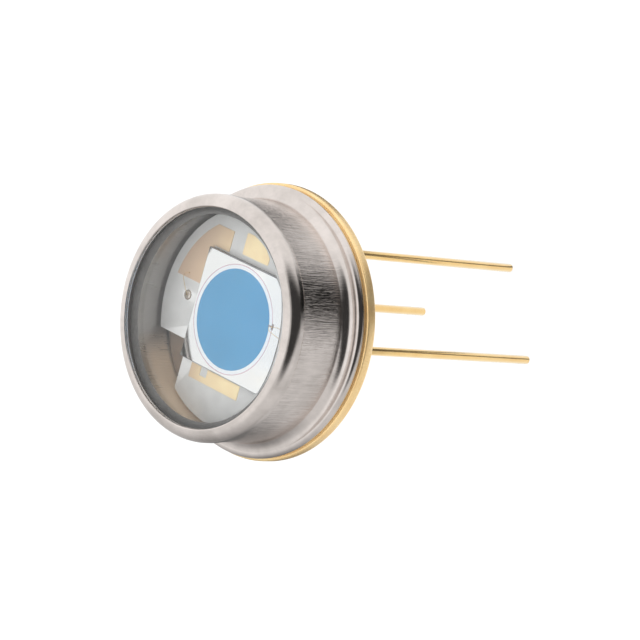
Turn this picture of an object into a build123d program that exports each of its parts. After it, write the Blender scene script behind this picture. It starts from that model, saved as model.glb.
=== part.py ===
from build123d import *
from math import sqrt
import os

# Windowed photodiode in a round metal can with three leads.
# Millimetres, window up along +Z, origin at the centre of the header's seating face.
# X runs through the two insulated leads, Y through the case lead, and the die's sides follow both.

os.makedirs("parts", exist_ok=True)

# Silicon die and what is laid on it
die_w = 5.8
die_bond_margin = 0.5
die_t = 0.33
attach_t = 0.04
attach_margin = 0.12
film_t = 0.02
active_margin = 0.35
guard_gap = 0.185
guard_w = 0.05
passivation_margin = 0.03
contact_t = 0.02
contact_finger_w = 0.06
contact_reach = 0.05
contact_pad_w = 0.12
contact_pad_l = 0.3
contact_y = 0.56

# Leads and their glass seals
lead_d = 0.45
lead_to_die = 1.0
lead_length = 15.7
case_lead_length = 17.0
lead_tip_chamfer = 0.05
lead_proud = 0.06
seal_wall = 0.525
braze_leg = 0.22

# Ceramic substrate with one corner cut away, and its bond to the platform
ceramic_past_leads = 1.73
ceramic_t = 0.6
lead_hole_gap = 0.095
notch_from_die = 0.15
notch_inside_die = 0.75
adhesive_t = 0.04
adhesive_setback = 0.2
adhesive_seal_gap = 0.1

# Plated pads on the ceramic, each measured from the die or from the ceramic's edge
pad_t = 0.03
pad_edge_margin = 0.56
corner_pad_gap = 0.05
pad_gap = 0.26
corner_pad_top_w = 0.88
corner_pad_right_inset = 1.03
corner_pad_low_inset = 2.07
case_pad_w = 1.9
case_pad_l = 1.12
case_pad_round = 0.08
strip_gap = 0.15
strip_w = 0.75
strip_left_inset = 0.6
strip_right_inset = 1.55
strip_bite_w = 0.5
strip_bite_l = 0.45
strip_bite_from_left = 0.97
die_pad_margin = 0.05

# Header: plated base with a flange and a raised platform
flange_t = 0.55
flange_chamfer = 0.08
flange_margin = 0.12
platform_margin = 0.04
platform_h = 0.85
platform_chamfer = 0.03

# Cap: one drawn sheet with a rounded lip, a shallow bead behind it and a flared weld flange
sheet_t = 0.28
cap_to_platform = 0.1
lip_round = 0.6
lip_flat = 0.06
bead_step = 0.06
bead_land = 0.26
flare_round = 0.5
flare_cones = 3
cap_land = 0.28

# Projection weld between the cap's flange and the header
weld_h = 0.22
weld_setback = 0.06

# Window glass, fused into the lip, and the solder glass under it
window_gap = 1.57
glass_t = 0.7
glass_rise = 0.03
meniscus_h = 0.16
meniscus_w = 0.35
seal_leg = 0.35

# Bond wires
wire_d = 0.05
wire_foot_d = 0.12
wire_foot_h = 0.04
wire_kink = 0.4
anode_loop_h = 0.45
cathode_loop_h = 0.4
cathode_wire_out = 0.25
cathode_wire_in = 0.27

# Radii, from the die outwards
die_half = die_w / 2
active_r = die_half - active_margin
guard_inner_r = active_r + guard_gap
guard_outer_r = guard_inner_r + guard_w
lead_r = lead_d / 2
seal_r = lead_r + seal_wall
lead_circle_r = die_half + lead_to_die
ceramic_r = lead_circle_r + ceramic_past_leads
platform_r = ceramic_r + platform_margin
wall_inner_r = platform_r + cap_to_platform
wall_r = wall_inner_r + sheet_t
lip_r = wall_r + bead_step
aperture_r = lip_r - lip_round - lip_flat
flare_end_r = wall_r + flare_round
cap_flange_r = flare_end_r + cap_land
flange_r = cap_flange_r + flange_margin

# Levels, from the seating face upwards
platform_z = flange_t + platform_h
ceramic_z = platform_z + adhesive_t
pad_z = ceramic_z + ceramic_t
lead_top_z = pad_z + lead_proud
attach_z = pad_z + pad_t
die_z = attach_z + attach_t
film_z = die_z + die_t
contact_z = film_z + film_t
contact_top_z = contact_z + contact_t
glass_bottom_z = contact_z + window_gap
lip_under_z = glass_bottom_z + glass_t
glass_top_z = lip_under_z + glass_rise
cap_top_z = lip_under_z + sheet_t
bead_z = cap_top_z - lip_round - bead_land
cap_seat_z = flange_t + weld_h
cap_flange_top_z = cap_seat_z + sheet_t

# Inside each bend the sheet is broken by a cone that leaves its full thickness at the middle
lip_cone = (2 - sqrt(2)) * (lip_round - sheet_t - bead_step)
flare_cone = (2 - sqrt(2)) * (flare_round + sheet_t)

# The die is longer on the side of its bond pad, so its middle lies off the can's axis
die_l = die_w + die_bond_margin
die_at = (die_bond_margin / 2, 0)

# Lead places
anode_at = (lead_circle_r, 0)
cathode_at = (-lead_circle_r, 0)
case_at = (0, lead_circle_r)


def save(part, name):
    part.label = name
    export_step(part, f"parts/{name}.step")


# Header base: flange and platform in one stamping, with two holes for the glass seals
with BuildPart() as header_base:
    with BuildSketch():
        Circle(flange_r)
    extrude(amount=flange_t)
    chamfer(header_base.edges().filter_by(GeomType.CIRCLE), flange_chamfer)
    with BuildSketch(Plane.XY.offset(flange_t)):
        Circle(platform_r)
    extrude(amount=platform_h)
    chamfer(header_base.faces().sort_by(Axis.Z)[-1].edges(), platform_chamfer)
    with BuildSketch():
        with Locations(anode_at, cathode_at):
            Circle(seal_r)
    extrude(amount=platform_z, mode=Mode.SUBTRACT)
save(header_base.part, "header_base")

# Glass seals: beads that fill the holes round the two insulated leads
for name, place in (("anode", anode_at), ("cathode", cathode_at)):
    with BuildPart() as glass_seal:
        with BuildSketch():
            with Locations(place):
                Circle(seal_r)
                Circle(lead_r, mode=Mode.SUBTRACT)
        extrude(amount=platform_z)
    save(glass_seal.part, f"glass_seal_{name}")

# Insulated leads: straight wires from the tip to just above the ceramic
for name, place in (("anode", anode_at), ("cathode", cathode_at)):
    with BuildPart() as lead:
        with BuildSketch(Plane.XY.offset(-lead_length)):
            with Locations(place):
                Circle(lead_r)
        extrude(amount=lead_length + lead_top_z)
        chamfer(lead.faces().sort_by(Axis.Z)[0].edges(), lead_tip_chamfer)
    save(lead.part, f"lead_{name}")

# Case lead: a wire that ends on the header's underside
with BuildPart() as lead_case:
    with BuildSketch(Plane.XY.offset(-case_lead_length)):
        with Locations(case_at):
            Circle(lead_r)
    extrude(amount=case_lead_length)
    chamfer(lead_case.faces().sort_by(Axis.Z)[0].edges(), lead_tip_chamfer)
save(lead_case.part, "lead_case")

# Braze fillet round the case lead
case_axis = Axis((case_at[0], case_at[1], 0), (0, 0, 1))
with BuildPart() as case_lead_braze:
    with BuildSketch(Plane.XZ.offset(-case_at[1])):
        with BuildLine():
            Polyline((lead_r, 0), (lead_r + braze_leg, 0), (lead_r, -braze_leg), close=True)
        make_face()
    revolve(axis=case_axis)
save(case_lead_braze.part, "case_lead_braze")

# Weld ring: the cap's projection, melted between the two flanges
with BuildPart() as weld_ring:
    with BuildSketch(Plane.XY.offset(flange_t)):
        Circle(cap_flange_r - weld_setback)
        Circle(flare_end_r, mode=Mode.SUBTRACT)
    extrude(amount=weld_h)
save(weld_ring.part, "weld_ring")

# Cap shell: the section of the drawn sheet, turned round the axis, with its flare as a few cones
with BuildPart() as cap_shell:
    with BuildSketch(Plane.XZ):
        with BuildLine():
            lip = FilletPolyline(
                (aperture_r, cap_top_z),
                (lip_r, cap_top_z),
                (lip_r, bead_z),
                radius=lip_round,
            )
            flare = CenterArc(
                (flare_end_r, cap_flange_top_z + flare_round),
                flare_round,
                start_angle=180,
                arc_size=90,
                mode=Mode.PRIVATE,
            )
            Polyline(
                lip @ 1,
                (wall_r, bead_z - bead_step),
                *(flare @ (step / flare_cones) for step in range(flare_cones + 1)),
                (cap_flange_r, cap_flange_top_z),
                (cap_flange_r, cap_seat_z),
                (wall_inner_r + flare_cone, cap_seat_z),
                (wall_inner_r, cap_seat_z + flare_cone),
                (wall_inner_r, lip_under_z - lip_cone),
                (wall_inner_r - lip_cone, lip_under_z),
                (aperture_r, lip_under_z),
                lip @ 0,
            )
        make_face()
    revolve(axis=Axis.Z)
save(cap_shell.part, "cap_shell")

# Window: a disc fused under the lip, its face rising to the metal in a hollow curve
with BuildPart() as window_glass:
    with BuildSketch(Plane.XZ):
        with BuildLine():
            rise = TangentArc(
                (aperture_r - meniscus_w, glass_top_z),
                (aperture_r, glass_top_z + meniscus_h),
                tangent=(1, 0),
            )
            Polyline(
                rise @ 1,
                (aperture_r, lip_under_z),
                (wall_inner_r - lip_cone, lip_under_z),
                (wall_inner_r, lip_under_z - lip_cone),
                (wall_inner_r, glass_bottom_z),
                (0, glass_bottom_z),
                (0, glass_top_z),
                rise @ 0,
            )
        make_face()
    revolve(axis=Axis.Z)
save(window_glass.part, "window_glass")

# Solder glass: a fillet between the window's inner face and the cap's wall
with BuildPart() as window_seal:
    with BuildSketch(Plane.XZ):
        with BuildLine():
            Polyline(
                (wall_inner_r - seal_leg, glass_bottom_z),
                (wall_inner_r, glass_bottom_z),
                (wall_inner_r, glass_bottom_z - seal_leg),
                close=True,
            )
        make_face()
    revolve(axis=Axis.Z)
save(window_seal.part, "window_seal")

# Ceramic substrate: a disc with a square corner cut away and a hole for each insulated lead
notch_x = die_half + notch_from_die
notch_y = die_half - notch_inside_die
with BuildPart() as ceramic_substrate:
    with BuildSketch(Plane.XY.offset(ceramic_z)):
        Circle(ceramic_r)
        with Locations((-notch_x, -notch_y)):
            Rectangle(ceramic_r, ceramic_r, align=(Align.MAX, Align.MAX), mode=Mode.SUBTRACT)
        with Locations(anode_at, cathode_at):
            Circle(lead_r + lead_hole_gap, mode=Mode.SUBTRACT)
    extrude(amount=ceramic_t)
save(ceramic_substrate.part, "ceramic_substrate")

# Adhesive film under the ceramic, set back from its edges and clear of the glass seals
with BuildPart() as substrate_adhesive:
    with BuildSketch(Plane.XY.offset(platform_z)):
        Circle(ceramic_r - adhesive_setback)
        with Locations((-notch_x + adhesive_setback, -notch_y + adhesive_setback)):
            Rectangle(ceramic_r, ceramic_r, align=(Align.MAX, Align.MAX), mode=Mode.SUBTRACT)
        with Locations(anode_at, cathode_at):
            Circle(seal_r + adhesive_seal_gap, mode=Mode.SUBTRACT)
    extrude(amount=adhesive_t)
save(substrate_adhesive.part, "substrate_adhesive")

# Corner pad: plated film that wraps the die's upper left corner and ends on an arc
pad_edge = die_half + pad_gap
pad_reach = ceramic_r - pad_edge_margin
corner_pad_right = die_half - corner_pad_right_inset
corner_pad_low = die_half - corner_pad_low_inset
corner_pad_l = pad_edge + corner_pad_top_w - corner_pad_low
corner_cut = die_half + corner_pad_gap
with BuildPart() as pad_corner:
    with BuildSketch(Plane.XY.offset(pad_z)):
        Circle(pad_reach)
        with Locations((-corner_pad_right, corner_pad_low)):
            Rectangle(
                pad_reach,
                corner_pad_l,
                align=(Align.MAX, Align.MIN),
                mode=Mode.INTERSECT,
            )
        with Locations((-corner_cut, corner_cut)):
            Rectangle(corner_cut, corner_cut, align=(Align.MIN, Align.MAX), mode=Mode.SUBTRACT)
    extrude(amount=pad_t)
save(pad_corner.part, "pad_corner")

# Case pad: plated square over the case lead
with BuildPart() as pad_case:
    with BuildSketch(Plane.XY.offset(pad_z)):
        with Locations((case_at[0], pad_edge + case_pad_l / 2)):
            RectangleRounded(case_pad_w, case_pad_l, case_pad_round)
    extrude(amount=pad_t)
save(pad_case.part, "pad_case")

# Strip pad: plated strip along the die's lower edge, with a square bite towards the die
strip_top = -(die_half + strip_gap)
strip_left = die_half - strip_left_inset
strip_right = die_half - strip_right_inset
with BuildPart() as pad_strip:
    with BuildSketch(Plane.XY.offset(pad_z)):
        with Locations((-strip_left, strip_top)):
            Rectangle(strip_left + strip_right, strip_w, align=(Align.MIN, Align.MAX))
        with Locations((-strip_left + strip_bite_from_left, strip_top)):
            Rectangle(
                strip_bite_w,
                strip_bite_l,
                align=(Align.CENTER, Align.MAX),
                mode=Mode.SUBTRACT,
            )
    extrude(amount=pad_t)
save(pad_strip.part, "pad_strip")

# Die pad: plated field that the die sits on
with BuildPart() as die_pad:
    with BuildSketch(Plane.XY.offset(pad_z)):
        with Locations(die_at):
            Rectangle(die_l - 2 * die_pad_margin, die_w - 2 * die_pad_margin)
    extrude(amount=pad_t)
save(die_pad.part, "die_pad")

# Die attach: thin conductive layer between die pad and die
with BuildPart() as die_attach:
    with BuildSketch(Plane.XY.offset(attach_z)):
        with Locations(die_at):
            Rectangle(die_l - 2 * attach_margin, die_w - 2 * attach_margin)
    extrude(amount=attach_t)
save(die_attach.part, "die_attach")

# Silicon die
with BuildPart() as silicon_die:
    with BuildSketch(Plane.XY.offset(die_z)):
        with Locations(die_at):
            Rectangle(die_l, die_w)
    extrude(amount=die_t)
save(silicon_die.part, "silicon_die")

# Active area: round light-sensitive window with its coating
with BuildPart() as active_area:
    with BuildSketch(Plane.XY.offset(film_z)):
        Circle(active_r)
    extrude(amount=film_t)
save(active_area.part, "active_area")

# Inner oxide: clear ring between the active area and the guard ring
with BuildPart() as inner_oxide:
    with BuildSketch(Plane.XY.offset(film_z)):
        Circle(guard_inner_r)
        Circle(active_r, mode=Mode.SUBTRACT)
    extrude(amount=film_t)
save(inner_oxide.part, "inner_oxide")

# Guard ring: narrow diffused ring
with BuildPart() as guard_ring:
    with BuildSketch(Plane.XY.offset(film_z)):
        Circle(guard_outer_r)
        Circle(guard_inner_r, mode=Mode.SUBTRACT)
    extrude(amount=film_t)
save(guard_ring.part, "guard_ring")

# Passivation: oxide field from the guard ring out to the sawn edge
with BuildPart() as passivation:
    with BuildSketch(Plane.XY.offset(film_z)):
        with Locations(die_at):
            Rectangle(die_l - 2 * passivation_margin, die_w - 2 * passivation_margin)
        Circle(guard_outer_r, mode=Mode.SUBTRACT)
    extrude(amount=film_t)
save(passivation.part, "passivation")

# Anode contact: a metal finger from the active area to a small bond pad over the guard ring
contact_pad_x = guard_outer_r - contact_pad_w / 2
with BuildPart() as anode_contact:
    with BuildSketch(Plane.XY.offset(contact_z)):
        with Locations((contact_pad_x, contact_y)):
            Rectangle(contact_pad_w, contact_pad_l)
        with Locations((contact_pad_x, contact_y)):
            Rectangle(
                guard_outer_r - active_r + contact_reach,
                contact_finger_w,
                align=(Align.MAX, Align.CENTER),
            )
    extrude(amount=contact_t)
save(anode_contact.part, "anode_contact")


def bond_wire(name, start, end, loop_h):
    """A wire that rises from start, runs level to its kink and slopes down to end, with a foot at each."""
    span = Vector(*end) - Vector(*start)
    run = Vector(span.X, span.Y, 0)
    loop = Plane(origin=start, x_dir=run, z_dir=run.cross(Vector(0, 0, 1)))
    with BuildPart() as wire:
        with BuildLine(loop) as path:
            Polyline(
                (0, 0),
                (0, loop_h),
                (wire_kink * run.length, loop_h),
                (run.length, span.Z),
            )
        with BuildSketch(Plane.XY.offset(start[2])):
            with Locations(start[:2]):
                Circle(wire_d / 2)
        sweep(path=path.wire(), transition=Transition.RIGHT)
        for foot in (start, end):
            with BuildSketch(Plane.XY.offset(foot[2])):
                with Locations(foot[:2]):
                    Circle(wire_foot_d / 2)
            extrude(amount=wire_foot_h)
    save(wire.part, name)


# Anode wire from the contact on the die to its lead
bond_wire(
    "wire_anode",
    (contact_pad_x, contact_y, contact_top_z),
    (*anode_at, lead_top_z),
    anode_loop_h,
)

# Cathode wire from the corner pad to its lead
bond_wire(
    "wire_cathode",
    (-(lead_circle_r + cathode_wire_out), corner_pad_low + cathode_wire_in, attach_z),
    (*cathode_at, lead_top_z),
    cathode_loop_h,
)
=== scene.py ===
# %% [markdown]
# This lesson dresses a windowed photodiode: a silicon light sensor that sits on a ceramic disc
# inside a small round metal can with a glass window and three gold-plated leads.
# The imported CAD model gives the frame, so every piece made here lies where its CAD solid lies.

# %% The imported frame
from math import cos, pi, radians, sin, tan

import bmesh
import bpy
from mathutils import Matrix, Vector


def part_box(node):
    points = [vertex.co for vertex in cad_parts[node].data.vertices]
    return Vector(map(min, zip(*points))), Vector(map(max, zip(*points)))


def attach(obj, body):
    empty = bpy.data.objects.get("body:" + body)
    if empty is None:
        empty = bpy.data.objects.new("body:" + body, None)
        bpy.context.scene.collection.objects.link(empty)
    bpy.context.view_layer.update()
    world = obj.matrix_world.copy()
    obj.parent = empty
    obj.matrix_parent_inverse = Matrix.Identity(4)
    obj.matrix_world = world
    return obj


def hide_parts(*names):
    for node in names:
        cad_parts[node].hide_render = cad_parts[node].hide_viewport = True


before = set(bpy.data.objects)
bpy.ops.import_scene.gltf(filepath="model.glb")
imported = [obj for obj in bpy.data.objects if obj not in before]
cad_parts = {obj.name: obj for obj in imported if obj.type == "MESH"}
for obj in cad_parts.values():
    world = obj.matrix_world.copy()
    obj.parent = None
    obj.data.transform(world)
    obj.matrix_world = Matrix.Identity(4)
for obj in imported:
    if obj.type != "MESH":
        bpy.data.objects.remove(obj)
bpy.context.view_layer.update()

# %% [markdown]
# The can is only 14 mm across. Mesh operators merge and bevel by small distances, and those go
# wrong on a mesh this small in metres. So each piece is drawn in millimetres, and its mesh is
# scaled to metres at the end. The sizes come from the boxes of the CAD nodes, and the few that
# a box can't tell, such as the thickness of the sheet, are named here.

# %% Sizes read from the frame
MM = 0.001


def box_mm(node):
    """Lowest and highest corner of a CAD node, in millimetres."""
    low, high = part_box(node)
    return low / MM, high / MM


header_high = box_mm("header_base")[1]
cap_low, cap_high = box_mm("cap_shell")
glass_low, glass_high = box_mm("window_glass")
seal_low, seal_high = box_mm("window_seal")
weld_low, weld_high = box_mm("weld_ring")
ceramic_low, ceramic_high = box_mm("ceramic_substrate")
die_low, die_high = box_mm("silicon_die")
bead_low, bead_high = box_mm("glass_seal_anode")
floor_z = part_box("lead_case")[0].z

sheet_t = 0.28
wall_inner_r = glass_high.x
wall_r = wall_inner_r + sheet_t
bead_step = 0.06
bead_land = 0.26
lip_r = wall_r + bead_step
lip_round = 0.6
lip_flat = 0.06
aperture_r = lip_r - lip_round - lip_flat
lip_under_z = cap_high.z - sheet_t
bead_z = cap_high.z - lip_round - bead_land
flare_round = 0.5
flange_edge_round = 0.25
cap_flange_top_z = cap_low.z + sheet_t
header_flange_t = weld_low.z
platform_border = 0.04
platform_r = ceramic_high.x + platform_border
print("Can radius", round(wall_r, 3), "mm, window opening radius", round(aperture_r, 3), "mm")

# %% [markdown]
# How fine the meshes are is named here too. The cap, the window and the header are turned in
# the most steps, and the thin leads in the fewest. Points nearer to each other than the merge
# distance, in millimetres, count as one.

# %% Fineness of the meshes
CAN_STEPS = 288
DISC_STEPS = 256
RING_STEPS = 224
BEAD_STEPS = 96
LEAD_STEPS = 64
MERGE_MM = 1e-5
ON_AXIS_MM = 1e-6
ROUND_SEGMENTS = 10
LIP_SEGMENTS = 16
SMALL_ROUND = 0.15
SMALL_SEGMENTS = 4
SHARP_ANGLE = radians(32)
print("Steps round the can:", CAN_STEPS)

# %% [markdown]
# Nearly every piece of a can is a turned shape, so one helper does most of the modelling: it
# takes the corners of a section, rounds them with a vertex bevel, and spins the section round
# an upright axis. A corner is written as radius, height and rounding, the way a lathe drawing
# gives it. The spin leaves a doubled seam and, on the axis, a fan of loose points, so doubles
# are merged before the normals are made to point outwards.

# %% Section and spin
def rounded_section(bm, corners, segments):
    """A flat closed section in the XZ plane from (radius, height, rounding) corners."""
    points = [bm.verts.new((r, 0, z)) for r, z, _ in corners]
    bm.faces.new(points)
    for i, (r, z, rounding) in enumerate(corners):
        if not rounding:
            continue
        here = Vector((r, z))
        before = (Vector(corners[i - 1][:2]) - here).normalized()
        after = (Vector(corners[(i + 1) % len(corners)][:2]) - here).normalized()
        reach = rounding / tan(before.angle(after) / 2)
        bmesh.ops.bevel(
            bm,
            geom=[points[i]],
            offset=reach,
            offset_type="OFFSET",
            affect="VERTICES",
            segments=segments if rounding > SMALL_ROUND else SMALL_SEGMENTS,
            profile=0.5,
            material=-1,
        )


def spin_section(bm, steps):
    """Turn the section's outline round the Z axis into a closed shell."""
    bmesh.ops.delete(bm, geom=bm.faces[:], context="FACES_ONLY")
    on_axis = [e for e in bm.edges if all(abs(v.co.x) < ON_AXIS_MM for v in e.verts)]
    bmesh.ops.delete(bm, geom=on_axis, context="EDGES")
    bmesh.ops.spin(
        bm,
        geom=bm.verts[:] + bm.edges[:],
        cent=(0, 0, 0),
        axis=(0, 0, 1),
        angle=2 * pi,
        steps=steps,
        use_merge=True,
    )
    bmesh.ops.remove_doubles(bm, verts=bm.verts, dist=MERGE_MM)
    bmesh.ops.recalc_face_normals(bm, faces=bm.faces)


def turned(corners, at=(0, 0), steps=RING_STEPS, segments=ROUND_SEGMENTS):
    """A turned solid as a bmesh, in millimetres, with its axis through at."""
    bm = bmesh.new()
    rounded_section(bm, corners, segments)
    spin_section(bm, steps)
    bmesh.ops.translate(bm, vec=(at[0], at[1], 0), verts=bm.verts)
    return bm


# %% [markdown]
# A finished mesh is scaled to metres, shaded smooth except across sharp edges, given its
# material, and tied to the CAD: it rides on the body and replaces its node.

# %% From a bmesh to a finished piece
def add_piece(name, bm, material, slot, *nodes):
    """Make an object of the bmesh that stands for the CAD nodes."""
    bmesh.ops.scale(bm, vec=(MM, MM, MM), verts=bm.verts)
    open_edges = sum(not e.is_manifold for e in bm.edges)
    mesh = bpy.data.meshes.new(name)
    bm.to_mesh(mesh)
    bm.free()
    mesh.polygons.foreach_set("use_smooth", [True] * len(mesh.polygons))
    mesh.set_sharp_from_angle(angle=SHARP_ANGLE)
    mesh.materials.append(material)
    piece = bpy.data.objects.new(name, mesh)
    bpy.context.scene.collection.objects.link(piece)
    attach(piece, "root")
    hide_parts(*nodes)
    print(name, "faces", len(mesh.polygons), "open edges", open_edges)


# %% [markdown]
# Some pieces are plates with holes or notches. A boolean cut is the clearest way to make
# those. The cut runs as a modifier on a temporary object, and its result goes back into a
# bmesh, so nothing live is left behind.

# %% Cutting one bmesh with another
def carved(bm, cutter):
    """The bmesh with the cutter taken out of it."""
    pair = []
    for part in (bm, cutter):
        mesh = bpy.data.meshes.new("blank")
        part.to_mesh(mesh)
        part.free()
        item = bpy.data.objects.new("blank", mesh)
        bpy.context.scene.collection.objects.link(item)
        pair.append(item)
    cut = pair[0].modifiers.new("cut", "BOOLEAN")
    cut.operation = "DIFFERENCE"
    cut.solver = "EXACT"
    cut.object = pair[1]
    seen = pair[0].evaluated_get(bpy.context.evaluated_depsgraph_get())
    result = bmesh.new()
    result.from_mesh(seen.to_mesh())
    seen.to_mesh_clear()
    for item in pair:
        mesh = item.data
        bpy.data.objects.remove(item)
        bpy.data.meshes.remove(mesh)
    bmesh.ops.remove_doubles(result, verts=result.verts, dist=MERGE_MM)
    return result


def block(low, high):
    """A box between two corners, as a bmesh, to cut with."""
    low, high = Vector(low), Vector(high)
    bm = bmesh.new()
    bmesh.ops.create_cube(bm, size=1)
    bmesh.ops.scale(bm, vec=high - low, verts=bm.verts)
    bmesh.ops.translate(bm, vec=(low + high) / 2, verts=bm.verts)
    return bm


def rod(at, radius, low, high):
    """An upright round bar between two heights, as a bmesh, to cut with."""
    return turned([(0, low, 0), (radius, low, 0), (radius, high, 0), (0, high, 0)], at, LEAD_STEPS)


# %% [markdown]
# Shader maths reads best as plain expressions. The class below wraps a socket, and its
# operators add Math nodes, in both orders, so that 1 - mask works as well as mask - 1.

# %% Sockets with arithmetic
class Signal:
    """One number that varies over a surface, as the output socket of a node."""

    def __init__(self, finish, socket):
        self.finish = finish
        self.socket = socket

    def maths(self, operation, *values):
        """A Math node that works on the values in their order."""
        sockets = dict(enumerate(values))
        return self.finish.node("ShaderNodeMath", {"operation": operation}, sockets)

    def then(self, operation, *others):
        """A Math node whose first value is this signal."""
        return self.maths(operation, self, *others)

    def __add__(self, other):
        return self.then("ADD", other)

    def __radd__(self, other):
        return self.maths("ADD", other, self)

    def __sub__(self, other):
        return self.then("SUBTRACT", other)

    def __rsub__(self, other):
        return self.maths("SUBTRACT", other, self)

    def __mul__(self, other):
        return self.then("MULTIPLY", other)

    def __rmul__(self, other):
        return self.maths("MULTIPLY", other, self)

    def __truediv__(self, other):
        return self.then("DIVIDE", other)

    def step(self, low, high):
        """0 below low, 1 above high and a soft rise between."""
        settings = {"interpolation_type": "SMOOTHSTEP"}
        sockets = {"Value": self, "From Min": low, "From Max": high}
        return self.finish.node("ShaderNodeMapRange", settings, sockets)


# %% [markdown]
# A finish is one material under construction. It holds a Principled shader, and its node
# method makes any other node. Numbers that are the same all over are set straight on the
# shader's sockets, and only what changes over the surface is linked.

# %% The finish class
class Finish:
    """A node material that is built up by name."""

    def __init__(self, name, **constants):
        self.material = bpy.data.materials.new(name)
        self.material.use_nodes = True
        self.tree = self.material.node_tree
        self.shader = self.tree.nodes["Principled BSDF"]
        self.out = self.tree.nodes["Material Output"]
        for words, value in constants.items():
            self.set(words.replace("_", " ").title().replace("Ior", "IOR"), value)

    def put(self, socket, value):
        """Link a signal or a socket to the socket, or set it to a number or a colour."""
        if isinstance(value, Signal):
            self.tree.links.new(value.socket, socket)
        elif isinstance(value, bpy.types.NodeSocket):
            self.tree.links.new(value, socket)
        elif socket.type == "RGBA" and len(value) == 3:
            socket.default_value = (*value, 1)
        else:
            socket.default_value = value

    def set(self, name, value):
        """Feed one input of the Principled shader."""
        self.put(self.shader.inputs[name], value)

    def show(self, shader):
        """Let this shader be the surface."""
        self.put(self.out.inputs["Surface"], shader)

    def node(self, kind, settings=None, sockets=None, out=0):
        """Any node: its settings first, then the values or links of its sockets."""
        made = self.tree.nodes.new(kind)
        for key, value in (settings or {}).items():
            setattr(made, key, value)
        for key, value in (sockets or {}).items():
            self.put(made.inputs[key], value)
        return Signal(self, made.outputs[out])

    def place(self):
        """The point on the surface, in millimetres from the can's origin."""
        coords = self.node("ShaderNodeTexCoord", out="Object")
        sockets = {0: coords, "Scale": 1 / MM}
        return self.node("ShaderNodeVectorMath", {"operation": "SCALE"}, sockets)

    def axes(self):
        """The x, y and z of that point, one signal each."""
        split = self.node("ShaderNodeSeparateXYZ", None, {0: self.place()})
        return [Signal(self, split.socket.node.outputs[i]) for i in range(3)]

    def vector(self, x, y, z):
        """Three signals or numbers as one vector."""
        return self.node("ShaderNodeCombineXYZ", None, {0: x, 1: y, 2: z})

    def noise(self, vector, scale, detail=3, roughness=0.55):
        """Soft noise from 0 to 1, with the scale in waves per unit of the vector."""
        sockets = {"Vector": vector, "Scale": scale, "Detail": detail, "Roughness": roughness}
        return self.node("ShaderNodeTexNoise", None, sockets)

    def blend(self, mask, low, high):
        """A colour that goes from low to high as the mask goes from 0 to 1."""
        settings = {"data_type": "RGBA"}
        return self.node("ShaderNodeMix", settings, {0: mask, 6: low, 7: high}, out=2)

    def dent(self, height, depth_mm):
        """Bump the surface by the height signal, whose full range is depth_mm deep."""
        sockets = {"Strength": 1.0, "Distance": depth_mm * MM, "Height": height}
        self.set("Normal", self.node("ShaderNodeBump", None, sockets))


# %% [markdown]
# The cap is drawn from nickel-plated sheet. Drawing leaves fine marks along the axis on the
# wall, and turning the lip and flange leaves faint rings. The marks come from noise that is
# stretched: along the height it hardly changes, round the wall it changes quickly. The point
# on the wall is first moved onto a unit circle, so the marks have no seam. The inside of the
# wall is rougher and painted darker as shade, and low down on one side it carries a painted
# reflection of the gold pads beside it.

# %% Nickel of the cap
# A painted reflection of the gold pads on the inside of the wall: its tone, its side and how high it
# reaches.
painted_gold_reflection_tone = (1.0, 0.77, 0.54)
gold_reflection_side = (-0.52, -0.85)
gold_reflection_top_z = 3.8


def nickel_finish(name, tone, dark_tone, roughness, shaded_inner_tone=None):
    """Drawn nickel; shaded_inner_tone is the painted shade of the inside of the wall."""
    f = Finish(name, metallic=1.0)
    x, y, z = f.axes()
    radius = (x * x + y * y).then("SQRT")

    def upright_marks(round_wall, along, detail, raggedness):
        """Noise that is stretched along the axis, and closes round the wall."""
        place = f.vector(x / radius * round_wall, y / radius * round_wall, z * along)
        return f.noise(place, 1.0, detail, raggedness)

    draw_marks = upright_marks(round_wall=50, along=0.5, detail=4, raggedness=0.65)
    fine_marks = upright_marks(round_wall=160, along=0.9, detail=2, raggedness=0.5)
    rings = f.noise(f.vector(radius * 22, z * 22, 0.0), 1.0, 3, 0.6)
    clouds = f.noise(f.place(), 0.55, 4, 0.6)
    above_flare = z.step(cap_flange_top_z + 0.1, cap_flange_top_z + 0.7)
    on_wall = above_flare * (1 - z.step(bead_z - 0.2, bead_z + 0.2))
    marks = 0.5 + (draw_marks * 0.55 + fine_marks * 0.45 - 0.5) * (on_wall * 0.9 + 0.1)
    colour = f.blend((clouds * 0.5 + marks * 0.5).step(0.32, 0.66), dark_tone, tone)
    rough = roughness + marks * 0.1 + clouds * 0.08
    if shaded_inner_tone:
        # Painted shade darkens the inside of the wall; low down on one side a painted gold reflection
        # with less metal.
        shaded_inside = (wall_r - radius).step(0.14, 0.2) * (lip_under_z - z).step(0.0, 0.05)
        facing_side = (x * gold_reflection_side[0] + y * gold_reflection_side[1]) / radius
        gold_reflection_mask = facing_side.step(0.82, 0.97) * (gold_reflection_top_z - z).step(0.0, 1.3)
        colour = f.blend(shaded_inside, colour, f.blend(gold_reflection_mask, shaded_inner_tone, painted_gold_reflection_tone))
        rough = rough + shaded_inside * 0.12
        f.set("Metallic", 1 - shaded_inside * gold_reflection_mask * 0.9)
    f.set("Base Color", colour)
    f.set("Roughness", rough)
    f.dent(marks * 0.9 + rings * 0.1, 0.036)
    return f.material


# The last tone is the painted shade of the inside of the wall.
nickel = nickel_finish("nickel_plate", (0.87, 0.80, 0.76), (0.61, 0.56, 0.525), 0.08, (0.45, 0.43, 0.41))
weld_metal = nickel_finish("weld_metal", (0.90, 0.82, 0.70), (0.66, 0.55, 0.42), 0.25)
print("Nickel finishes:", nickel.name, weld_metal.name)
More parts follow.
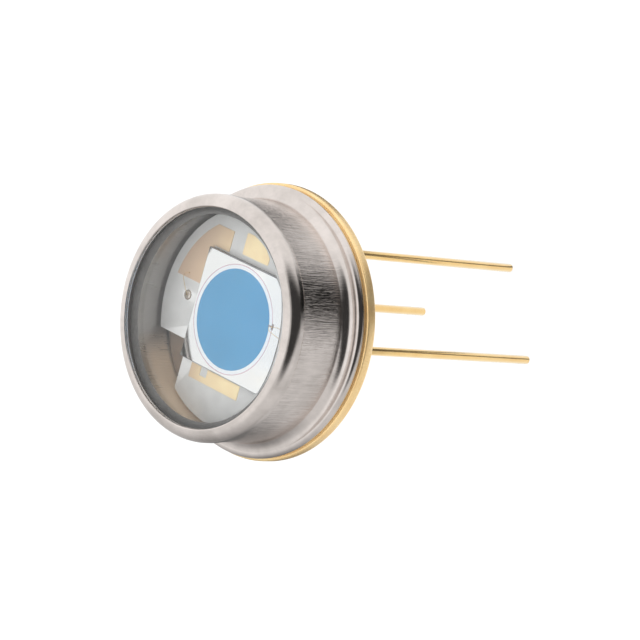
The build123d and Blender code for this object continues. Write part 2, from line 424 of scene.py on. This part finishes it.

# %% [markdown]
# The header and the leads are gold over a nickel-iron alloy. Plated gold is soft-looking: its
# colour drifts a little from yellow to orange, and its grain scatters the highlights. The pads
# on the ceramic are a satin film that turns browner towards low x.

# %% Gold
def gold_finish(
    name,
    tone,
    deep_tone,
    roughness,
    grain=26.0,
    along_z=1.0,
    metal=1.0,
    low_x_tone=None,
    top=None,
    edge_sheen_tone=None,
):
    """Gold, where low_x_tone is the tone at low x, top is a height and the painted tone above it,
    and edge_sheen_tone is a painted sheen on faces that turn away from the viewer."""
    f = Finish(name, metallic=metal)
    x, y, z = f.axes()
    speck = f.noise(f.vector(x, y, z * along_z), grain, 3, 0.6)
    drift = f.noise(f.place(), 0.8, 3, 0.5)
    colour = f.blend((drift * 0.6 + speck * 0.4).step(0.32, 0.7), deep_tone, tone)
    if low_x_tone:
        colour = f.blend((x + drift * 2).step(-3.2, 1.2), low_x_tone, colour)
    if edge_sheen_tone:
        # A painted sheen: faces turned away from the viewer are painted paler.
        edge_sheen_mask = f.node("ShaderNodeLayerWeight", None, {"Blend": 0.5}, out="Facing")
        colour = f.blend(edge_sheen_mask.step(0.35, 1.0), colour, edge_sheen_tone)
    rough = roughness + speck * 0.16
    # The tone above the top height is painted: painted shade on the platform, a painted highlight on the
    # lead tops.
    if top:
        top_z, painted_top_tone = top
        above = z.step(top_z, top_z + 0.1)
        colour = f.blend(above, colour, painted_top_tone)
        rough = rough + above * 0.2
    f.set("Base Color", colour)
    f.set("Roughness", rough)
    f.dent(speck, 0.004)
    return f.material


# Painted shade and highlight: the platform top, deep in the can, is painted dark brown, and the cut lead
# tops pale.
platform_top_shade = (0.9, (0.42, 0.34, 0.28))
lead_top_highlight = (1.95, (1.0, 0.90, 0.80))
plate_gold = gold_finish(
    "gold_plate",
    (1.0, 0.77, 0.42),
    (0.94, 0.64, 0.30),
    0.2,
    metal=0.8,
    top=platform_top_shade,
)
lead_gold = gold_finish(
    "lead_gold",
    (0.96, 0.69, 0.32),
    (0.87, 0.57, 0.24),
    0.06,
    grain=60.0,
    along_z=0.3,
    top=lead_top_highlight,
    edge_sheen_tone=(1.0, 0.90, 0.64),
)
pad_gold = gold_finish(
    "pad_gold",
    (1.0, 0.83, 0.51),
    (0.90, 0.69, 0.41),
    0.4,
    grain=14.0,
    metal=0.3,
    low_x_tone=(0.66, 0.48, 0.345),
)
wire_gold = gold_finish("wire_gold", (1.0, 0.78, 0.38), (0.9, 0.64, 0.26), 0.18, grain=60.0)
print("Gold finishes:", plate_gold.name, lead_gold.name, pad_gold.name, wire_gold.name)

# %% [markdown]
# The window is clear glass. Light has to reach the parts behind it, so the glass turns
# transparent for shadow rays: lamps then light the inside as they would through a thin pane.

# %% Window glass
def window_finish():
    """Clear glass with a little dust, which lets lamp light through."""
    f = Finish("window_glass", transmission_weight=1.0, ior=1.5, base_color=(0.97, 0.98, 0.98))
    dust = f.noise(f.place(), 3.0, 4, 0.6)
    f.set("Roughness", 0.004 + dust.step(0.62, 0.8) * 0.02)
    rays = f.node("ShaderNodeLightPath", out="Is Shadow Ray")
    clear = f.node("ShaderNodeBsdfTransparent", None, {"Color": (0.94, 0.95, 0.95)})
    f.show(f.node("ShaderNodeMixShader", None, {0: rays, 1: f.shader.outputs[0], 2: clear}))
    return f.material


window_clear = window_finish()
print("Window finish:", window_clear.name)

# %% [markdown]
# Four more finishes share one recipe: the grey solder glass that fuses the window to the cap,
# the dark beads that hold the leads in the header, the pale alumina disc, and the grey epoxy
# under the disc and the die. The hollow face of the solder glass is painted pale, as painted
# light that it catches from the window, while its top, which lies against the pane, is dark.

# %% Solder glass, lead glass, ceramic and epoxy
def speckled_finish(name, tone, dark_tone, roughness, scale, depth_mm, under=None):
    """A grainy finish, where under is a height and the tone below it."""
    f = Finish(name)
    grain = f.noise(f.place(), scale, 4, 0.6)
    cloud = f.noise(f.place(), scale * 0.06, 3, 0.5)
    colour = f.blend((grain * 0.5 + cloud * 0.5).step(0.3, 0.7), dark_tone, tone)
    if under:
        under_z, under_tone = under
        colour = f.blend(f.axes()[2].step(under_z - 0.02, under_z), under_tone, colour)
    f.set("Base Color", colour)
    f.set("Roughness", roughness + grain * 0.15)
    f.dent(grain, depth_mm)
    return f.material


solder_glass = speckled_finish(
    "solder_glass",
    (0.20, 0.195, 0.19),
    (0.13, 0.125, 0.12),
    0.12,
    9.0,
    0.01,
    # Painted light: the hollow face below the top of the seal is painted pale.
    under=(seal_high.z, (0.84, 0.87, 0.90)),
)
lead_glass = speckled_finish("lead_glass", (0.035, 0.05, 0.045), (0.015, 0.02, 0.02), 0.06, 14.0, 0.004)
alumina = speckled_finish("alumina", (0.84, 0.83, 0.82), (0.74, 0.73, 0.72), 0.42, 26.0, 0.004)
epoxy = speckled_finish("silver_epoxy", (0.45, 0.44, 0.42), (0.30, 0.29, 0.28), 0.4, 30.0, 0.01)
print("Grainy finishes:", solder_glass.name, lead_glass.name, alumina.name, epoxy.name)

# %% [markdown]
# The die is polished silicon under thin films. A film colours the mirror by interference, so
# each one is a metallic shader with its own tint: blue over the active area, and almost
# white over the oxide.

# %% Films on the die
def film_finish(name, tone, other_tone, roughness):
    """A tinted mirror whose tint drifts between two tones."""
    f = Finish(name, metallic=1.0)
    cloud = f.noise(f.place(), 0.5, 2, 0.5)
    speck = f.noise(f.place(), 40.0, 2, 0.5)
    f.set("Base Color", f.blend(cloud.step(0.3, 0.7), other_tone, tone))
    f.set("Roughness", roughness + speck * 0.03)
    f.dent(speck, 0.0005)
    return f.material


blue_film = film_finish("blue_film", (0.13, 0.395, 0.665), (0.12, 0.38, 0.645), 0.05)
clear_film = film_finish("clear_film", (0.93, 0.96, 1.0), (0.92, 0.95, 0.99), 0.04)
guard_film = film_finish("guard_film", (0.74, 0.58, 0.64), (0.70, 0.54, 0.62), 0.06)
oxide_film = film_finish("oxide_film", (0.98, 0.98, 0.97), (0.95, 0.95, 0.95), 0.04)
sawn_silicon = film_finish("sawn_silicon", (0.30, 0.30, 0.32), (0.22, 0.22, 0.24), 0.3)
contact_metal = film_finish("contact_metal", (0.55, 0.5, 0.5), (0.45, 0.4, 0.4), 0.2)
print("Materials so far:", len(bpy.data.materials))

# %% [markdown]
# Now the pieces. The cap comes first, because it is most of what one sees: a rounded lip, a
# narrow raised bead, the straight wall, and the flare that runs out into the weld flange.

# %% Cap
opening_top_round, opening_under_round = 0.05, 0.03
bead_edge_round, bead_foot_round = 0.06, 0.08
cut_edge_round = 0.02
cap_section = [
    (aperture_r, cap_high.z, opening_top_round),
    (lip_r, cap_high.z, lip_round),
    (lip_r, bead_z, bead_edge_round),
    (wall_r, bead_z - bead_step, bead_foot_round),
    (wall_r, cap_flange_top_z, flare_round),
    (cap_high.x, cap_flange_top_z, flange_edge_round),
    (cap_high.x, cap_low.z, cut_edge_round),
    (wall_inner_r, cap_low.z, flare_round + sheet_t),
    (wall_inner_r, lip_under_z, lip_round - sheet_t - bead_step),
    (aperture_r, lip_under_z, opening_under_round),
]
cap_blank = turned(cap_section, steps=CAN_STEPS, segments=LIP_SEGMENTS)
add_piece("cap_drawn", cap_blank, nickel, "nickel", "cap_shell")

# %% [markdown]
# The weld joins the cap to the header. It is a low bead in the gap between the two flanges.

# %% Weld bead
weld_w = 0.15
weld_inner_r = weld_high.x - weld_w
weld_round = 0.1
weld_section = [
    (weld_inner_r, weld_high.z, 0),
    (weld_inner_r, weld_low.z, 0),
    (weld_high.x, weld_low.z, weld_round),
    (weld_high.x, weld_high.z, weld_round),
]
add_piece("weld_bead", turned(weld_section), weld_metal, "weld_metal", "weld_ring")

# %% [markdown]
# The window is a disc fused under the lip. Molten glass wets metal, so its top face rises to
# the lip in a hollow curve, the meniscus, which is what draws the soft bright ring inside the
# opening. The glass runs two hundredths of a millimetre into the metal, so that no two faces
# share a place.

# %% Window with its meniscus
bite = 0.02
corner_cut = 0.1
meniscus_w = 0.35
glass_rise = 0.03
glass_top_z = lip_under_z + glass_rise
meniscus_h = glass_high.z - glass_top_z
meniscus_points = 9


def window_section():
    """Half of the window's outline, from the middle of its lower face to that of its top."""
    points = [
        (0, glass_low.z, 0),
        (wall_inner_r + bite, glass_low.z, 0),
        (wall_inner_r + bite, lip_under_z - corner_cut, 0),
        (wall_inner_r - corner_cut, lip_under_z + bite, 0),
        (aperture_r + bite, lip_under_z + bite, 0),
    ]
    for i in range(meniscus_points):
        t = i / (meniscus_points - 1)
        r = aperture_r + bite - (meniscus_w + bite) * t
        points.append((r, glass_top_z + meniscus_h * (1 - t) ** 2, 0))
    return points + [(0, glass_top_z, 0)]


window_blank = turned(window_section(), steps=CAN_STEPS)
add_piece("window_pane", window_blank, window_clear, "window", "window_glass")

# %% [markdown]
# Under the window a fillet of solder glass closes the corner between the glass and the wall.
# Such a fillet has a hollow face, because the molten glass or metal clings to both sides.

# %% Solder glass fillet
def hollow_curve(r, z, width, height, points=9):
    """A hollow quarter curve across the corner at (r, z), which a negative width turns outwards."""
    curve = []
    for i in range(points):
        a = 0.5 * pi * i / (points - 1)
        curve.append((r - width * (1 - sin(a)), z - height * (1 - cos(a)), 0))
    return curve


seal_past_lip = 0.33
seal_w = wall_inner_r - aperture_r + seal_past_lip
seal_h = seal_high.z - seal_low.z + bite
seal_corner = (wall_inner_r + bite, seal_high.z + bite)
seal_section = [(*seal_corner, 0)] + hollow_curve(*seal_corner, seal_w, seal_h)
add_piece("window_fillet", turned(seal_section), solder_glass, "solder_glass", "window_seal")

# %% [markdown]
# The header is a stamped disc with a raised platform. It is turned first, and the two holes
# for the glass beads are cut through it.

# %% Header
anode_at = ((bead_low.x + bead_high.x) / 2, 0)
cathode_at = (-anode_at[0], 0)
case_at = (0, anode_at[0])
insulated = {"anode": anode_at, "cathode": cathode_at}
lead_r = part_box("lead_anode")[1].x / MM - anode_at[0]
bead_r = (bead_high.x - bead_low.x) / 2
past_face = 1
rim_round = 0.1
platform_foot_round, platform_top_round = 0.05, 0.03

header_section = [
    (0, 0, 0),
    (header_high.x, 0, rim_round),
    (header_high.x, header_flange_t, rim_round),
    (platform_r, header_flange_t, platform_foot_round),
    (platform_r, header_high.z, platform_top_round),
    (0, header_high.z, 0),
]
header_blank = turned(header_section, steps=CAN_STEPS)
for at in insulated.values():
    header_blank = carved(header_blank, rod(at, bead_r, -past_face, header_high.z + past_face))
add_piece("header_stamping", header_blank, plate_gold, "gold_plate", "header_base")

# %% [markdown]
# Each insulated lead is held by a bead of dark glass. Its face is a little hollow where the
# glass shrank between the lead and the hole.

# %% Glass beads
glass_lap = 0.01
face_gap = 0.005
dip_w, dip_h, dip_round = 0.16, 0.07, 0.1
for name, at in insulated.items():
    bead_section = [
        (lead_r - glass_lap, 0.01, 0),
        (lead_r + dip_w, dip_h, dip_round),
        (bead_r - dip_w, dip_h, dip_round),
        (bead_r, face_gap, 0),
        (bead_r, header_high.z - face_gap, 0),
        (lead_r - glass_lap, header_high.z - face_gap, 0),
    ]
    bead = turned(bead_section, at, BEAD_STEPS)
    add_piece(f"bead_{name}", bead, lead_glass, "seal_glass", f"glass_seal_{name}")

# %% [markdown]
# The leads are plain wires with a broken edge at each cut end.

# %% Leads
low_end_round, high_end_round = 0.06, 0.03
for name, at in (*insulated.items(), ("case", case_at)):
    low, high = box_mm(f"lead_{name}")
    lead_section = [
        (0, low.z, 0),
        (lead_r, low.z, low_end_round),
        (lead_r, high.z, high_end_round),
        (0, high.z, 0),
    ]
    lead = turned(lead_section, at, LEAD_STEPS)
    add_piece(f"wire_lead_{name}", lead, lead_gold, "gold_plate", f"lead_{name}")

# %% [markdown]
# The third lead ends at the header, so that it is joined to the case. A small fillet of braze
# holds it there.

# %% Braze fillet of the case lead
braze_leg = -box_mm("case_lead_braze")[0].z
braze_lap = 0.01
braze_section = [
    (lead_r - braze_lap, braze_lap, 0),
    (lead_r + braze_leg, braze_lap, 0),
    *hollow_curve(lead_r, 0, -braze_leg, braze_leg, points=7),
    (lead_r - braze_lap, -braze_leg, 0),
]
braze = turned(braze_section, case_at, LEAD_STEPS)
add_piece("case_fillet", braze, plate_gold, "gold_plate", "case_lead_braze")

# %% [markdown]
# The ceramic disc carries the die. One corner is cut away square, and each insulated lead
# comes up through a hole with a little clearance.

# %% Ceramic
notch_past_die, notch_under_die = 0.15, 0.75
notch_x = notch_past_die - die_low.x
notch_y = die_high.y - notch_under_die
past_rim = 9
cut_low_z, cut_high_z = 0, 4
hole_clearance = 0.04
disc_low_round, disc_high_round = 0.04, 0.05
disc_section = [
    (0, ceramic_low.z, 0),
    (ceramic_high.x, ceramic_low.z, disc_low_round),
    (ceramic_high.x, ceramic_high.z, disc_high_round),
    (0, ceramic_high.z, 0),
]
disc = turned(disc_section, steps=DISC_STEPS)
notch = block((-past_rim, -past_rim, cut_low_z), (-notch_x, -notch_y, cut_high_z))
disc = carved(disc, notch)
for at in insulated.values():
    disc = carved(disc, rod(at, lead_r + hole_clearance, cut_low_z, cut_high_z))
add_piece("ceramic_disc", disc, alumina, "ceramic", "ceramic_substrate")

# %% [markdown]
# The plated pads, the die and its films are thin flat plates whose CAD meshes are already
# exact, so they stay, and take the finishes made above.

# %% Finishes on the CAD nodes that stay
kept_nodes = {
    "substrate_adhesive": epoxy,
    "pad_corner": pad_gold,
    "pad_case": pad_gold,
    "pad_strip": pad_gold,
    "die_pad": pad_gold,
    "die_attach": epoxy,
    "silicon_die": sawn_silicon,
    "active_area": blue_film,
    "inner_oxide": clear_film,
    "guard_ring": guard_film,
    "passivation": oxide_film,
    "anode_contact": contact_metal,
}
for name, material in kept_nodes.items():
    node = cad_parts[name]
    node.data.materials.clear()
    node.data.materials.append(material)
print("CAD nodes that keep their mesh:", len(kept_nodes))

# %% [markdown]
# The bond wires are gold, thinner than a hair. Each one rises from a flat ball, bends over and
# comes down to another. A curve with a round bevel draws it in one go.

# %% Bond wires
wire_r = 0.0125
ball_r = 0.036
ball_flatness = 0.34
ball_rise = 0.02


def wire_blank(start, top, end):
    """The wire alone as a bmesh: up from the start, over the top and down to the end."""
    curve = bpy.data.curves.new("blank", "CURVE")
    curve.dimensions = "3D"
    curve.bevel_depth = wire_r
    curve.bevel_resolution = 4
    curve.use_fill_caps = True
    spline = curve.splines.new("NURBS")
    above = Vector((start.x, start.y, top.z))
    points = [start, above, top, end]
    spline.points.add(len(points) - 1)
    for point, at in zip(spline.points, points):
        point.co = (*at, 1)
    spline.order_u = 3
    spline.use_endpoint_u = True
    spline.resolution_u = 12
    draft = bpy.data.objects.new("blank", curve)
    bpy.context.scene.collection.objects.link(draft)
    seen = draft.evaluated_get(bpy.context.evaluated_depsgraph_get())
    bm = bmesh.new()
    bm.from_mesh(seen.to_mesh())
    seen.to_mesh_clear()
    bpy.data.objects.remove(draft)
    bpy.data.curves.remove(curve)
    bmesh.ops.remove_doubles(bm, verts=bm.verts, dist=MERGE_MM)
    return bm


def bond_wire(name, start, top, end, node):
    """A bond wire with a flat ball at each foot."""
    start, top, end = Vector(start), Vector(top), Vector(end)
    bm = wire_blank(start, top, end)
    for foot in (start, end):
        ball = bmesh.ops.create_uvsphere(bm, u_segments=20, v_segments=12, radius=ball_r)["verts"]
        bmesh.ops.scale(bm, vec=(1, 1, ball_flatness), verts=ball)
        bmesh.ops.translate(bm, vec=foot + Vector((0, 0, ball_rise)), verts=ball)
    bmesh.ops.recalc_face_normals(bm, faces=bm.faces)
    add_piece(name, bm, wire_gold, "wire_gold", node)


anode_low, anode_high = box_mm("wire_anode")
cathode_low, cathode_high = box_mm("wire_cathode")
contact_low, contact_high = box_mm("anode_contact")
foot_inset = 0.06
cathode_foot_rise = 0.03
anode_loop = (anode_at[0] - 0.55, 0.33)
cathode_loop = (cathode_at[0] - 0.15, 0.7)
bond_wire(
    "bond_anode",
    (contact_high.x - foot_inset, (contact_low.y + contact_high.y) / 2, contact_high.z),
    (*anode_loop, anode_high.z - wire_r),
    (*anode_at, anode_low.z),
    "wire_anode",
)
bond_wire(
    "bond_cathode",
    (cathode_low.x + foot_inset, cathode_high.y - foot_inset, cathode_low.z),
    (*cathode_loop, cathode_high.z - wire_r),
    (*cathode_at, cathode_low.z + cathode_foot_rise),
    "wire_cathode",
)

# %% [markdown]
# The camera looks at the can from its window side with a long lens, and is rolled so that
# the leads point right, as the picture shows. Azimuth, elevation and roll give its axes, and
# its distance and aim are in millimetres.

# %% Camera
azimuth, elevation, roll = radians(106.45), radians(47.1), radians(3.85)
distance = 151.9
aim_right, aim_up = 2.383, 0.11
lens_mm = 171.0
sensor_mm = 36.0

back = Vector((sin(azimuth) * cos(elevation), -cos(azimuth) * cos(elevation), sin(elevation)))
back_flat = Vector((back.x, back.y, 0)).normalized()
level = Vector((cos(azimuth), sin(azimuth), 0))
down_axis = Vector((sin(azimuth) * sin(elevation), -cos(azimuth) * sin(elevation), -cos(elevation)))
right = cos(roll) * down_axis + sin(roll) * level
up = -sin(roll) * down_axis + cos(roll) * level

camera_data = bpy.data.cameras.new("camera")
camera_data.sensor_width = sensor_mm
camera_data.lens = lens_mm
camera_data.clip_start = 0.005
camera_data.clip_end = 20.0
camera = bpy.data.objects.new("camera", camera_data)
bpy.context.scene.collection.objects.link(camera)
eye = (distance * back + aim_right * right + aim_up * up) * MM
camera.matrix_world = Matrix.Translation(eye) @ Matrix((right, up, back)).transposed().to_4x4()
bpy.context.scene.camera = camera
print("Camera at", [round(v, 4) for v in eye], "lens", camera_data.lens)

# %% [markdown]
# The studio is a pale floor under an even sky, with one large soft lamp. The floor is white for
# camera, glossy and transmission rays, so the background is white, and what is left of its own
# shading keeps the shadow. Shiny metal in an all-white room looks flat, so a photographer puts
# it in a light tent with a dark slot for the lens, and lays dark cards beside it. Here the tent
# and the cards are brightness alone, and only glossy rays find them. A cylinder round the can
# is the tent, and fields on the floor are the cards, both laid out by their angle round the
# can, where 0 faces the camera and 90 is the upper side of the picture.

# %% Helpers of the stage
def between(signal, low, high, soft):
    """1 where the signal lies between low and high, with soft ends."""
    return signal.step(low - soft, low + soft) * (1 - signal.step(high - soft, high + soft))


def towards(start, goal, mask):
    """A number that goes from start to goal as the mask goes from 0 to 1."""
    return start + (goal - start) * mask


def around(f, at=(0, 0)):
    """Angle in degrees from the camera's side, distance from an upright axis and height, in mm."""
    x, y, z = f.axes()
    x, y = x - at[0], y - at[1]
    ahead = x * back_flat.x + y * back_flat.y
    aside = y * back_flat.x - x * back_flat.y
    angle = aside.then("ARCTAN2", ahead) * (180 / pi)
    return angle, (x * x + y * y).then("SQRT"), z


def glowing(f, strength):
    """White light where the strength is 1, and black where it is 0."""
    white = f.node("ShaderNodeEmission", None, {"Color": (1, 1, 1), "Strength": 1})
    return f.node("ShaderNodeMixShader", None, {0: strength, 2: white})


def stage_piece(name, bm, material):
    """An object of the studio, which is no part of the photodiode."""
    mesh = bpy.data.meshes.new(name)
    bm.to_mesh(mesh)
    bm.free()
    mesh.materials.append(material)
    item = bpy.data.objects.new(name, mesh)
    bpy.context.scene.collection.objects.link(item)
    print(name, "made for the stage")
    return item


# %% [markdown]
# The floor is bright close to the can, and its fields begin 15 to 18 mm out. Each line of the
# recipe lays one field over those before it: the upper side of the picture, a black card
# there, a dim field on the lower side, a black card on the camera's side, and a dark card for
# each of the two outer leads, which gives them their dark line. A field is named by the angles
# where it starts and ends and the softness of its sides, all in degrees.

# %% Floor with its cards
floor_r = 3.0
floor_seen = 0.85
fields_start = (15, 18)
outer_ring = (22.3, 24.3)
upper_field = (45, 178, 6)
upper_card = (90, 142, 6)
upper_card_end = (27.6, 28.6)
lower_field = (-175, -100, 15)
near_card = (2, 45, 10)
lead_card = (11, 39, 6)
lead_card_end = (13, 17)
open_glow, upper_card_glow, lower_glow, near_glow, lead_card_glow = 0.66, 0.02, 0.17, 0.0, 0.16


def floor_finish():
    """White paper with fields of brightness that only glossy rays see."""
    f = Finish("floor_paper", roughness=0.6)
    grain = f.noise(f.place(), 2.0, 3, 0.5)
    f.set("Base Color", f.blend(grain, (0.88, 0.88, 0.88), (0.92, 0.92, 0.92)))
    angle, distance_out, _ = around(f)
    far = distance_out.step(*fields_start)
    glow = towards(1.0, open_glow, far)
    upper_glow = distance_out.step(*outer_ring) * 0.5 + 0.45
    glow = towards(glow, upper_glow, far * between(angle, *upper_field))
    card_side = 1 - (distance_out + angle * 0.046).step(*upper_card_end)
    glow = towards(glow, upper_card_glow, far * card_side * between(angle, *upper_card))
    glow = towards(glow, lower_glow, far * between(angle, *lower_field))
    glow = towards(glow, near_glow, far * between(angle, *near_card))
    for lead_at in (anode_at, case_at):
        lead_angle, reach, _ = around(f, lead_at)
        card = between(lead_angle, *lead_card) * (1 - reach.step(*lead_card_end))
        glow = towards(glow, lead_card_glow, card)
    paths = f.node("ShaderNodeLightPath").socket.node.outputs
    camera_ray, glossy_ray, clear_ray = (
        Signal(f, paths[kind]) for kind in ("Is Camera Ray", "Is Glossy Ray", "Is Transmission Ray")
    )
    straight = camera_ray.then("MAXIMUM", clear_ray)
    seen = (straight * floor_seen).then("MAXIMUM", glossy_ray)
    white = glowing(f, towards(1.0, glow, glossy_ray))
    f.show(f.node("ShaderNodeMixShader", None, {0: seen, 1: f.shader.outputs[0], 2: white}))
    return f.material


floor_bm = bmesh.new()
bmesh.ops.create_circle(floor_bm, cap_ends=True, segments=96, radius=floor_r)
floor = stage_piece("floor", floor_bm, floor_finish())
floor.location.z = floor_z

# %% [markdown]
# The tent is dark where the camera looks in, with a slot that widens upwards, bright on the
# upper side of the picture, and dim below, so that the rounded lip and the flare, which mirror
# everything from the floor to the sky, turn from bright to black and back. Its cloth is laid
# out like the floor, by angles in degrees and heights in millimetres.

# %% Light tent
tent_r = 30 * MM
tent_top = 60 * MM
shaded_cloth = (-165, 48, 13)
lower_cloth = (-140, -85, 27)
tent_brim = (30, 58)
tent_brim_glow = 0.95
slot_end = (30, 50)
slot_glow = 0.045


def tent_finish():
    """Cloth whose brightness is laid out by angle and height, with the lens slot cut last."""
    f = Finish("tent_cloth", roughness=0.9)
    angle, _, z = around(f)
    weave = f.noise(f.place(), 0.3, 3, 0.5)
    glow = towards(1.0, 0.70 + weave * 0.06, between(angle, *shaded_cloth))
    glow = towards(glow, 0.26 + z.step(-12, 45) * 0.6, between(angle, *lower_cloth))
    glow = towards(glow, tent_brim_glow, z.step(*tent_brim))
    slot_middle = 9 - z.step(-12, 15) * 9
    slot_half = 21 + z.step(-12, 20) * 22
    away = (angle - slot_middle).then("ABSOLUTE")
    slot = (1 - (away - slot_half).step(-12, 12)) * (1 - z.step(*slot_end))
    glow = towards(glow, slot_glow, slot)
    f.show(glowing(f, glow))
    return f.material


tent_bm = bmesh.new()
bmesh.ops.create_circle(tent_bm, segments=96, radius=tent_r)
upper = bmesh.ops.extrude_edge_only(tent_bm, edges=tent_bm.edges[:])["geom"]
upper_rim = [v for v in upper if isinstance(v, bmesh.types.BMVert)]
bmesh.ops.translate(tent_bm, vec=(0, 0, tent_top - floor_z), verts=upper_rim)
bmesh.ops.translate(tent_bm, vec=(0, 0, floor_z), verts=tent_bm.verts)
tent = stage_piece("light_tent", tent_bm, tent_finish())
for kind in ("camera", "diffuse", "transmission", "volume_scatter", "shadow"):
    setattr(tent, f"visible_{kind}", False)

# %% [markdown]
# The sky is plain white. The lamp stands high over the can, and is left out of reflections and
# of the view through glass, so that it lights the parts and leaves no hard glint.

# %% Sky and lamp
world = bpy.data.worlds.new("sky")
bpy.context.scene.world = world
world.use_nodes = True
sky = world.node_tree.nodes["Background"]
sky.inputs["Color"].default_value = (1, 1, 1, 1)
sky.inputs["Strength"].default_value = 1.0

lamp_at = Vector((0.02, -0.01, 0.32))
lamp_data = bpy.data.lights.new("key", "AREA")
lamp_data.size = 0.5
lamp_data.energy = 1.9
lamp = bpy.data.objects.new("key", lamp_data)
facing_can = lamp_at.to_track_quat("Z", "Y").to_matrix().to_4x4()
lamp.matrix_world = Matrix.Translation(lamp_at) @ facing_can
lamp.visible_glossy = False
lamp.visible_transmission = False
bpy.context.scene.collection.objects.link(lamp)

bpy.context.scene.view_settings.view_transform = "Standard"
print("Sky strength", sky.inputs["Strength"].default_value, "lamp power", round(lamp_data.energy, 2))
